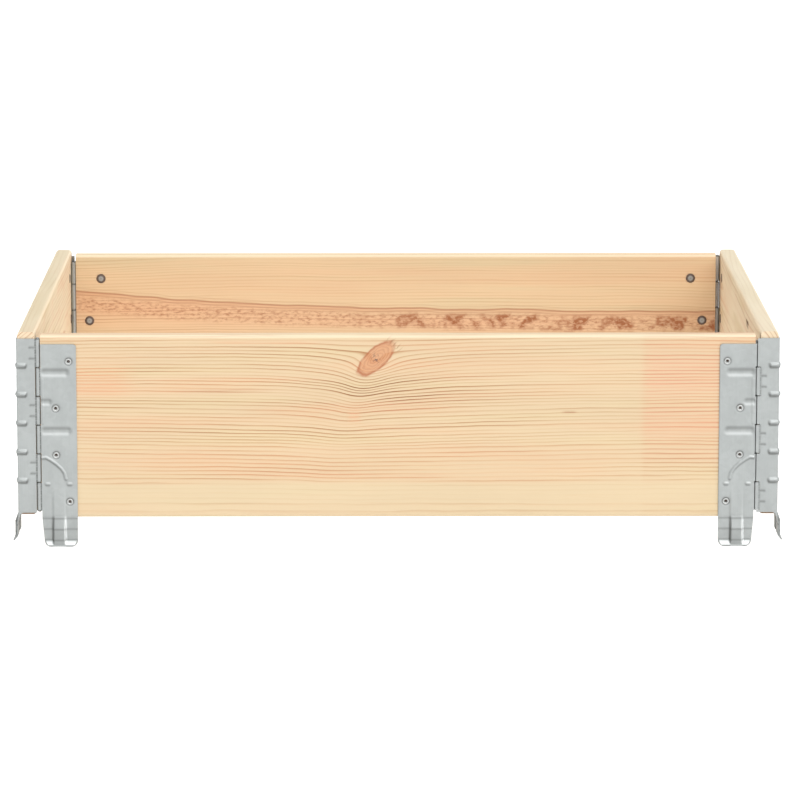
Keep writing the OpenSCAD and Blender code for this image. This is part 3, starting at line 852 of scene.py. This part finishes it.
class Leaf:
    """One leaf as a grid: rows by height, and columns over the plate, the wrap and then the tabs."""

    def __init__(self, form, kind, seed, lit_side):
        self.form = form
        self.kind = kind
        self.seed = seed
        self.lit_side = lit_side
        self.width = SIDE_WIDTH if kind == "side" else END_WIDTH
        self.plate_top, self.hinge_top, self.hinge_base = leaf_levels(kind)
        self.rows, self.spaces = leaf_rows(kind)
        self.in_own = np.array([space in OWN_KNUCKLES[(form, kind)] for space in self.spaces])
        wrap, tab = bent_path(form, kind)
        path = wrap + tab[1:] if wrap else tab
        self.tail = np.array(path[1:])
        plate_count = round(self.width / GRID_STEP) + 1
        shown_count = plate_count + max(len(wrap) - 1, 0)
        self.plate = slice(None, plate_count)
        self.bent = slice(plate_count, None)
        self.bend = slice(plate_count, plate_count + BEND_STEPS)
        self.shown = slice(None, shown_count)
        self.tabs = slice(shown_count, None)
        self.low, self.high = leaf_edges(self.rows, self.width, self.plate_top)
        self.u = self.high[:, None] + (self.low - self.high)[:, None] * np.linspace(0, 1, plate_count)
        self.far = self.u - (self.width - END_WIDTH)
        self.shape = (len(self.rows), plate_count + len(self.tail))
        self.lay_out()
        self.press()
        # Painted shade in the wrap's dents
        self.painted_shading = self.slope_shading() + DENT_SHADE * self.dents
        self.crease()
        self.shade_tabs()

    def lay_out(self):
        """Places of the points, their outward directions, run from the board's end and heights."""
        corner = (0.0, -SHEET)
        self.base = np.zeros((*self.shape, 2))
        self.base[:, self.plate, 0] = self.u
        self.base[:, self.plate, 1] = -SHEET
        self.base[:, self.bent] = self.tail
        way = np.gradient(np.vstack([[(1.0, -SHEET), corner], self.tail]), axis=0)[2:]
        way /= np.linalg.norm(way, axis=1)[:, None]
        self.out = np.zeros((*self.shape, 2))
        self.out[:, self.plate] = (0.0, -1.0)
        self.out[:, self.bent, 0] = -way[:, 1]
        self.out[:, self.bent, 1] = way[:, 0]
        self.run = np.zeros(self.shape)
        steps = np.linalg.norm(np.diff(np.vstack([corner, self.tail]), axis=0), axis=1)
        self.run[:, self.bent] = np.cumsum(steps)
        self.run[:, self.plate] = -self.u
        self.z = self.rows[:, None] + np.zeros(self.shape)
        if self.kind == "side":
            on_plate = np.clip(1 + self.run / WEB_PLATE_REACH, 0, 1)
            on_wrap = np.clip(1 - self.run / WEB_REACH, 0, 1) ** 2
            beside = np.where(self.run < 0, on_plate, on_wrap)
            beside[:, self.bend] = 1.0
            self.z -= WEB_DROP * beside * (1 - ease(np.abs(self.z - self.hinge_base) / WEB_RISE))

    def press(self):
        """How far the pressings stand out, and where the dents of the wrap are."""
        self.relief = np.zeros(self.shape)
        self.dents = np.zeros(self.shape)
        self.relief[:, self.plate] = plate_relief(self.u, self.z[:, self.plate], self.width, self.seed)
        if self.kind == "side":
            from_bend = self.run[:, self.shown] - SHEET * math.pi / 4
            z = self.z[:, self.shown]
            dents = wrap_dents(from_bend, z, self.form, self.hinge_top)
            self.relief[:, self.shown] += wrap_ribs(from_bend, z, self.hinge_top) - DENT_DEPTH * dents
            self.dents[:, self.shown] = dents

    def slope_shading(self):
        """Painted shade where a face is hollow or turns down, painted highlight where it turns up, and
        painted shade at the ribs' inner ends.
        """
        tilt = np.gradient(self.relief, self.rows, axis=0)
        hollow = np.gradient(tilt, self.rows, axis=0)
        hollow += np.gradient(np.gradient(self.relief, axis=1), axis=1) / GRID_STEP ** 2
        z = self.z[:, self.plate]
        foot = 1 - ease((z - BOARD_BASE + 1) / 5)
        in_foot = np.zeros(self.shape)
        in_foot[:, self.plate] = foot
        painted_shading = DOWN_FACING_SHADE * np.clip(tilt * 3.0, 0, 1) + np.clip(hollow * 0.6, 0, HOLLOW_SHADE)
        painted_shading *= 1 - 0.6 * in_foot
        bright = np.full(self.shape, WRAP_HIGHLIGHT)
        bright[:, self.plate] = PLATE_HIGHLIGHT
        painted_shading -= bright * np.clip(tilt * -2.4, 0, 1) * (1 - in_foot)
        # Painted shade where the ribs fall away at their inner ends
        falling = np.gradient(self.relief[:, self.bent], axis=1) / -GRID_STEP
        painted_shading[:, self.bent] += RIB_END_SHADE * np.clip(falling, 0, 1)
        painted_shading[:, self.plate] += self.plate_shading(z, foot)
        return np.clip(painted_shading, -1, 1)

    def plate_shading(self, z, foot):
        """Painted shade and highlight from the sides of pressings, the foot's bends and lip, the free
        edge and round the rivets, and a darker foot.
        """
        channel = channel_share(self.far)
        # Painted highlight on walls that lean towards the lit side, stronger on the foot, and painted
        # shade on walls that lean away
        leaning = self.lit_side * np.gradient(self.relief[:, self.plate], axis=1) / GRID_STEP
        painted_shading = np.where(leaning > 0, -0.2 - 0.8 * foot, 0.55) * np.clip(np.abs(leaning) * 1.5, 0, 1)
        # Painted shade along the foot's bends
        for height in (BOARD_BASE - 1, BOARD_BASE - FOOT_FLARE, FOOT_LIP + 0.4):
            painted_shading += FOOT_BEND_SHADE * np.exp(-(z - height) ** 2)
        # Darker over the foot, more on its channel and on the side leaves' feet
        painted_shading += foot * (0.12 + 0.16 * channel + (0 if self.lit_side else SIDE_FOOT_DARKENING))
        # A painted highlight on the foot's lip, with painted shade along its edge
        lip = (1 - ease((z - FOOT_LIP + 2) / 2.5)) * (1 - channel) * abs(self.lit_side)
        from_free_edge = self.high[:, None] - self.u
        rim = np.minimum(np.minimum(self.u - self.low[:, None], from_free_edge), z)
        painted_shading += lip * (1.5 * ridge(rim, LIP_EDGE_SECTION) - 0.75)
        # Painted shade along the free edge of a leaf that faces away from the light
        if self.lit_side < 0:
            painted_shading += FREE_EDGE_SHADE * ridge(from_free_edge, FREE_EDGE_SECTION) * (1 - foot)
        # A ring of painted shade round each rivet tail
        radius, spread = RIVET_RING
        for away in rivet_distances(self.far, z):
            painted_shading += RIVET_RING_SHADE * np.exp(-((away - radius) / spread) ** 2)
        return painted_shading

    def crease(self):
        """A dotted crease where the tabs of the knuckles leave the flat sheet, with painted shade along
        it.
        """
        if (self.form, self.kind) not in CREASES:
            return
        from_crease = np.abs(self.run[:, self.bent] - CREASES[(self.form, self.kind)])
        own_rows = np.append(self.in_own, False) | np.insert(self.in_own, 0, False)
        crease = ridge(from_crease, CREASE_SECTION) * own_rows[:, None]
        self.relief[:, self.bent] -= CREASE_DEPTH * crease
        z = self.z[:, self.bent]
        dotted = 0.8 + 0.2 * np.sin(z * 2.3) + 0.15 * np.sin(z * 0.9 + self.seed)
        dotted *= 1.1 if self.form == "outer" else 0.7
        self.painted_shading[:, self.bent] = np.maximum(self.painted_shading[:, self.bent], np.clip(crease * dotted, 0, 1))

    def shade_tabs(self):
        """Painted shade on the tabs' sides and where the knuckles meet, and painted light on the back of
        the outer barrels.
        """
        ahead = -self.out[:, self.tabs, 0 if self.kind == "side" else 1]
        turned_aside = ease((0.75 - ahead) / 0.5) * ease((ahead + 0.6) / 0.5)
        turned_back = ease((-ahead + 0.1) / 0.4) * (self.form == "outer")
        pitches = (self.hinge_top - self.rows) / KNUCKLE_PITCH
        from_joint = np.abs(pitches - np.round(pitches))[:, None] * KNUCKLE_PITCH
        joint = ridge(from_joint, (KNUCKLE_GAP / 2, 1.0))
        painted_dark = np.maximum(self.painted_shading[:, self.tabs], TAB_SHADE[self.form] * turned_aside)
        painted_dark = np.maximum(painted_dark, JOINT_SHADE * joint)
        self.painted_shading[:, self.tabs] = painted_dark - BARREL_PAINTED_LIGHT * turned_back * (1 - joint)

    def sides(self):
        """Points of the outer and of the inner face, from the board's end and outer face."""
        thick = np.full(self.shape[1], SHEET)
        if self.kind == "side":
            thick[self.bend] -= BEND_EASE
        outer = self.base + self.out * self.relief[:, :, None]
        inner = self.base + self.out * (np.maximum(self.relief, 0) - thick)[:, :, None]
        return outer, inner

    def cells(self):
        """Which cells of the grid are sheet, and not a rivet's hole or a space beside a knuckle."""
        count, columns = self.shape
        cells = np.ones((count - 1, columns - 1), bool)
        plate_cells = slice(None, self.plate.stop - 1)
        for away in rivet_distances(cell_middles(self.far), cell_middles(self.z[:, self.plate])):
            cells[:, plate_cells] &= away > RIVET_SHANK
        first_tab = self.tabs.start - 1
        skirt = WRAP_SKIRT if self.kind == "side" else 0
        above = self.rows[:-1] >= self.hinge_base - skirt - HAIR
        cells[:, plate_cells.stop:first_tab] = above[:, None]
        cells[:, first_tab:] = self.in_own[:, None]
        if self.form == "inner":
            ledge = (self.rows[:-1] >= self.hinge_base - HAIR) & (self.rows[1:] <= self.plate_top + HAIR)
            between = np.array(self.spaces) < 0
            cells[:, first_tab] |= ledge & ~between
            if self.kind == "side":
                cells[np.ix_(ledge & between, self.run[0, 1:] > TAB_NOTCH)] = False
        return cells


def closed_sheet(cells):
    """Faces of a sheet with two sides and a rim, as numbers in the outer points and then the inner."""
    count, columns = cells.shape[0] + 1, cells.shape[1] + 1
    half = count * columns
    number = np.arange(half).reshape(count, columns)
    a, b = number[:-1, :-1][cells], number[:-1, 1:][cells]
    c, d = number[1:, 1:][cells], number[1:, :-1][cells]
    outer = np.stack([a, b, c, d], 1)
    faces = outer.tolist() + (outer[:, ::-1] + half).tolist()
    rim = set()
    for quad in outer.tolist():
        for first, second in zip(quad, quad[1:] + quad[:1]):
            if (second, first) in rim:
                rim.discard((second, first))
            else:
                rim.add((first, second))
    faces += [(second, first, first + half, second + half) for first, second in sorted(rim)]
    return faces


def at_corner(points, corner, kind):
    """Points of a leaf's own frame in the part's frame."""
    sign_x, sign_y, _ = CORNERS[corner]
    u, v, z = points.T
    inset_x, inset_y = (END_START + u, v) if kind == "end" else (v, u)
    rise = SIDE_RISE if kind == "side" else 0
    return np.stack([sign_x * (HALF_X - inset_x), sign_y * (HALF_Y - inset_y), z + rise], -1)


def turned(faces, corner, kind):
    """Faces turned over where the corner is a mirror image."""
    sign_x, sign_y, _ = CORNERS[corner]
    if sign_x * sign_y * (1 if kind == "end" else -1) < 0:
        return faces
    return [tuple(reversed(face)) for face in faces]


def board_of(corner, kind):
    front_or_back, left_or_right = corner.split("_")
    return front_or_back if kind == "end" else left_or_right


def add_piece(corner, kind, what, made, material, points, faces, painted_shading):
    """A closed mesh in a leaf's own frame as a piece that rides on its board and stands for a solid."""
    board = board_of(corner, kind)
    node = f"{corner}_{board if kind == 'end' else kind}_{what}"
    name = f"{node}_{made}"
    points = at_corner(points, corner, kind)
    faces = turned(faces, corner, kind)
    used = np.unique(np.array([number for face in faces for number in face]))
    place = np.full(len(points), -1)
    place[used] = np.arange(len(used))
    faces = [tuple(int(place[number]) for number in face) for face in faces]
    mesh = bpy.data.meshes.new(name)
    mesh.from_pydata((points[used] * MM).tolist(), [], faces)
    mesh.polygons.foreach_set("use_smooth", [True] * len(mesh.polygons))
    mesh.set_sharp_from_angle(angle=SHARP_ANGLE)
    layer = mesh.attributes.new("painted_shading", "FLOAT", "POINT")
    layer.data.foreach_set("value", painted_shading[used])
    mesh.materials.append(material)
    piece = bpy.data.objects.new(name, mesh)
    bpy.context.scene.collection.objects.link(piece)
    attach(piece, board)
    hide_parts(node)


def make_leaf(corner, kind, seed, material):
    """One leaf as a closed sheet, with painted shading at each point."""
    sign_x, _, form = CORNERS[corner]
    leaf = Leaf(form, kind, seed, 0 if kind == "side" else -sign_x)
    points = np.vstack([np.dstack([side, leaf.z]).reshape(-1, 3) for side in leaf.sides()])
    faces = closed_sheet(leaf.cells())
    painted_shading = np.tile(leaf.painted_shading.ravel(), 2)
    add_piece(corner, kind, "leaf", "sheet", material, points, faces, painted_shading)


# Rivets

def rivet_profile():
    """The outline as radius, depth from the board's face, painted shading, and the painted shade added
    on the upper side and taken off the lower side.
    """
    face = RIVET_DISH_DEPTH - SHEET
    floor = face - RIVET_TAIL_RISE + RIVET_HOLE_DEPTH
    # A dark hole with painted shade on its upper wall and a painted highlight on its lower wall
    outline = [
        (0.0, floor, 1.0, 0.0),
        (RIVET_HOLE * 0.5, floor - 0.2, 0.9, 0.3),
        (RIVET_HOLE * 0.9, face, 0.45, 1.0),
    ]
    middle = (RIVET_TAIL + RIVET_HOLE) / 2
    half = (RIVET_TAIL - RIVET_HOLE) / 2
    for k in range(RIVET_TAIL_STEPS + 1):
        turn = math.pi * k / RIVET_TAIL_STEPS
        # Round the tail: painted shade where it meets the sheet, a faint painted highlight on top, and a
        # lean for painted shade above the hole and a highlight below
        edge = float(ease((k - 9) / 3))
        lean = 0.8 * float(1 - ease(k / 5))
        place = (middle - half * math.cos(turn), face - RIVET_TAIL_RISE * math.sin(turn) * 1.1)
        outline.append((*place, edge - 0.15 + 0.2 * lean, lean))
    seat = BOARD - RIVET_SINK
    hidden = [(RIVET_TAIL - 0.2, face + 0.25), (RIVET_SHANK, face + 0.4), (RIVET_SHANK, seat)]
    hidden += [(RIVET_HEAD - 0.3, seat), (RIVET_HEAD, seat + 0.25)]
    outline += [(*place, 1.0, 0.0) for place in hidden]
    rim = BOARD + RIVET_HEAD_LIFT
    crown = RIVET_HEAD_RISE - RIVET_HEAD_LIFT
    for k in range(RIVET_HEAD_STEPS + 1):
        turn = math.pi / 2 * k / RIVET_HEAD_STEPS
        radius = RIVET_HEAD * math.cos(turn)
        # On the head: painted shade towards the rim, a darker middle, and a little darker all over
        rim_shade = float(ease((radius - 2.2) / 1.4))
        darker_middle = math.exp(-(radius / 0.8) ** 2)
        painted_shading = 0.25 + 0.75 * rim_shade + 0.4 * darker_middle
        outline.append((radius, rim + crown * math.sin(turn), painted_shading, 0.0))
    return outline


def make_rivets(corner, kind, material):
    """The four rivets of one leaf, each turned about its own axis."""
    shift = SIDE_WIDTH - END_WIDTH if kind == "side" else 0
    outline = rivet_profile()
    rings = len(outline) - 2
    points, faces, painted_shading = [], [], []
    for from_end, height in RIVET_PLACES:
        across = shift + from_end
        start = len(points)
        for radius, depth, ring_shading, lean in outline[1:-1]:
            for k in range(RIVET_SIDES):
                turn = 2 * math.pi * k / RIVET_SIDES
                out, up = radius * math.cos(turn), radius * math.sin(turn)
                points.append((across + out, depth, height + up))
                # The lean paints shade on the upper side and a highlight on the lower side
                painted_shading.append(ring_shading + lean * math.sin(turn))
        first, last = len(points), len(points) + 1
        points += [(across, outline[0][1], height), (across, outline[-1][1], height)]
        painted_shading += [outline[0][2], outline[-1][2]]
        end = start + (rings - 1) * RIVET_SIDES
        for ring in range(start, end, RIVET_SIDES):
            for k in range(RIVET_SIDES):
                here, there = ring + k, ring + (k + 1) % RIVET_SIDES
                faces.append((here, there, there + RIVET_SIDES, here + RIVET_SIDES))
        for k in range(RIVET_SIDES):
            following = (k + 1) % RIVET_SIDES
            faces.append((first, start + following, start + k))
            faces.append((last, end + k, end + following))
    points, painted_shading = np.array(points), np.array(painted_shading)
    add_piece(corner, kind, "rivets", "set", material, points, faces, painted_shading)


ZINC = zinc("zinc_sheet_leaf", rgb(173, 177, 176), ZINC_SHADE, 5.0)
RIVET_STEEL = zinc("rivet_steel_bright", rgb(180, 182, 180), RIVET_SHADE, 23.0)
PIN_STEEL = zinc("pin_steel_dull", rgb(150, 150, 148), ZINC_SHADE, 41.0)

for number, corner in enumerate(CORNERS):
    for kind in ("side", "end"):
        seed = 1.7 * number + (0.8 if kind == "end" else 0.0)
        make_leaf(corner, kind, seed, ZINC)
        make_rivets(corner, kind, RIVET_STEEL)
    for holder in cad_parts[f"{corner}_hinge_pin"].material_slots:
        holder.material = PIN_STEEL


# Studio

FLOOR_HALF = 40
FLOOR_DROP = 0.0005
FLOOR_COLOR = (0.45, 0.45, 0.45, 1.0)
FLOOR_GLOW = 0.8
WHITE = (1.0, 1.0, 1.0, 1.0)
SKY = {"low": 0.36, "high": 1.45, "lean": 0.2}
SKY_CLIMB = (0.12, 0.6)
KEY_LIGHT = {"direction": (0.3, -0.7, 0.65), "strength": 0.9, "spread": 54}
FRONT_LIGHT = {"direction": (0.02, -0.98, 0.2), "strength": 0.14, "spread": 24}
CAMERA_PLACE = (-0.0211, -5.080, 1.009)
CAMERA_YAW = math.radians(-0.278)
CAMERA_PITCH = math.radians(10.122)
CAMERA_LENS = 207.6
CAMERA_SENSOR = 36


def make_floor():
    mesh = bpy.data.meshes.new("studio_floor")
    corners = [(-1, -1), (1, -1), (1, 1), (-1, 1)]
    points = [(FLOOR_HALF * x, FLOOR_HALF * y, -FLOOR_DROP) for x, y in corners]
    mesh.from_pydata(points, [], [(0, 1, 2, 3)])
    graph = Graph(bpy.data.materials.new("studio_floor"))
    graph.surface("Base Color", FLOOR_COLOR)
    graph.surface("Emission Color", WHITE)
    graph.surface("Emission Strength", FLOOR_GLOW)
    graph.surface("Roughness", 0.9)
    graph.surface("Specular IOR Level", 0.1)
    mesh.materials.append(graph.owner)
    floor = bpy.data.objects.new("studio_floor", mesh)
    bpy.context.scene.collection.objects.link(floor)


def make_sun(name, direction, strength, spread):
    light = bpy.data.lights.new(name, "SUN")
    light.energy = strength
    light.angle = math.radians(spread)
    lamp = bpy.data.objects.new(name, light)
    lamp.rotation_euler = Vector(direction).to_track_quat("Z", "Y").to_euler()
    bpy.context.scene.collection.objects.link(lamp)


def make_world(low, high, lean):
    """Soft surround: dim at the horizon, bright above, and a little brighter on the right."""
    world = bpy.data.worlds.new("studio")
    graph = Graph(world, "Background")
    x, _, z = graph.coordinates("Generated")
    climb = graph.smooth(z, *SKY_CLIMB) * (high - low) + low
    graph.surface("Color", WHITE)
    graph.surface("Strength", climb * (x * lean + 1.0))
    bpy.context.scene.world = world


def make_camera():
    """Camera at the photograph's place, with its lens and a level horizon."""
    camera = bpy.data.cameras.new("camera")
    camera.sensor_width = CAMERA_SENSOR
    camera.lens = CAMERA_LENS
    camera.clip_end = 200
    eye = bpy.data.objects.new("camera", camera)
    eye.location = CAMERA_PLACE
    eye.rotation_euler = (math.pi / 2 - CAMERA_PITCH, 0.0, CAMERA_YAW)
    bpy.context.scene.collection.objects.link(eye)
    bpy.context.scene.camera = eye


make_floor()
make_world(**SKY)
make_sun("key_light", **KEY_LIGHT)
make_sun("front_light", **FRONT_LIGHT)
make_camera()
bpy.context.scene.view_settings.view_transform = "Standard"
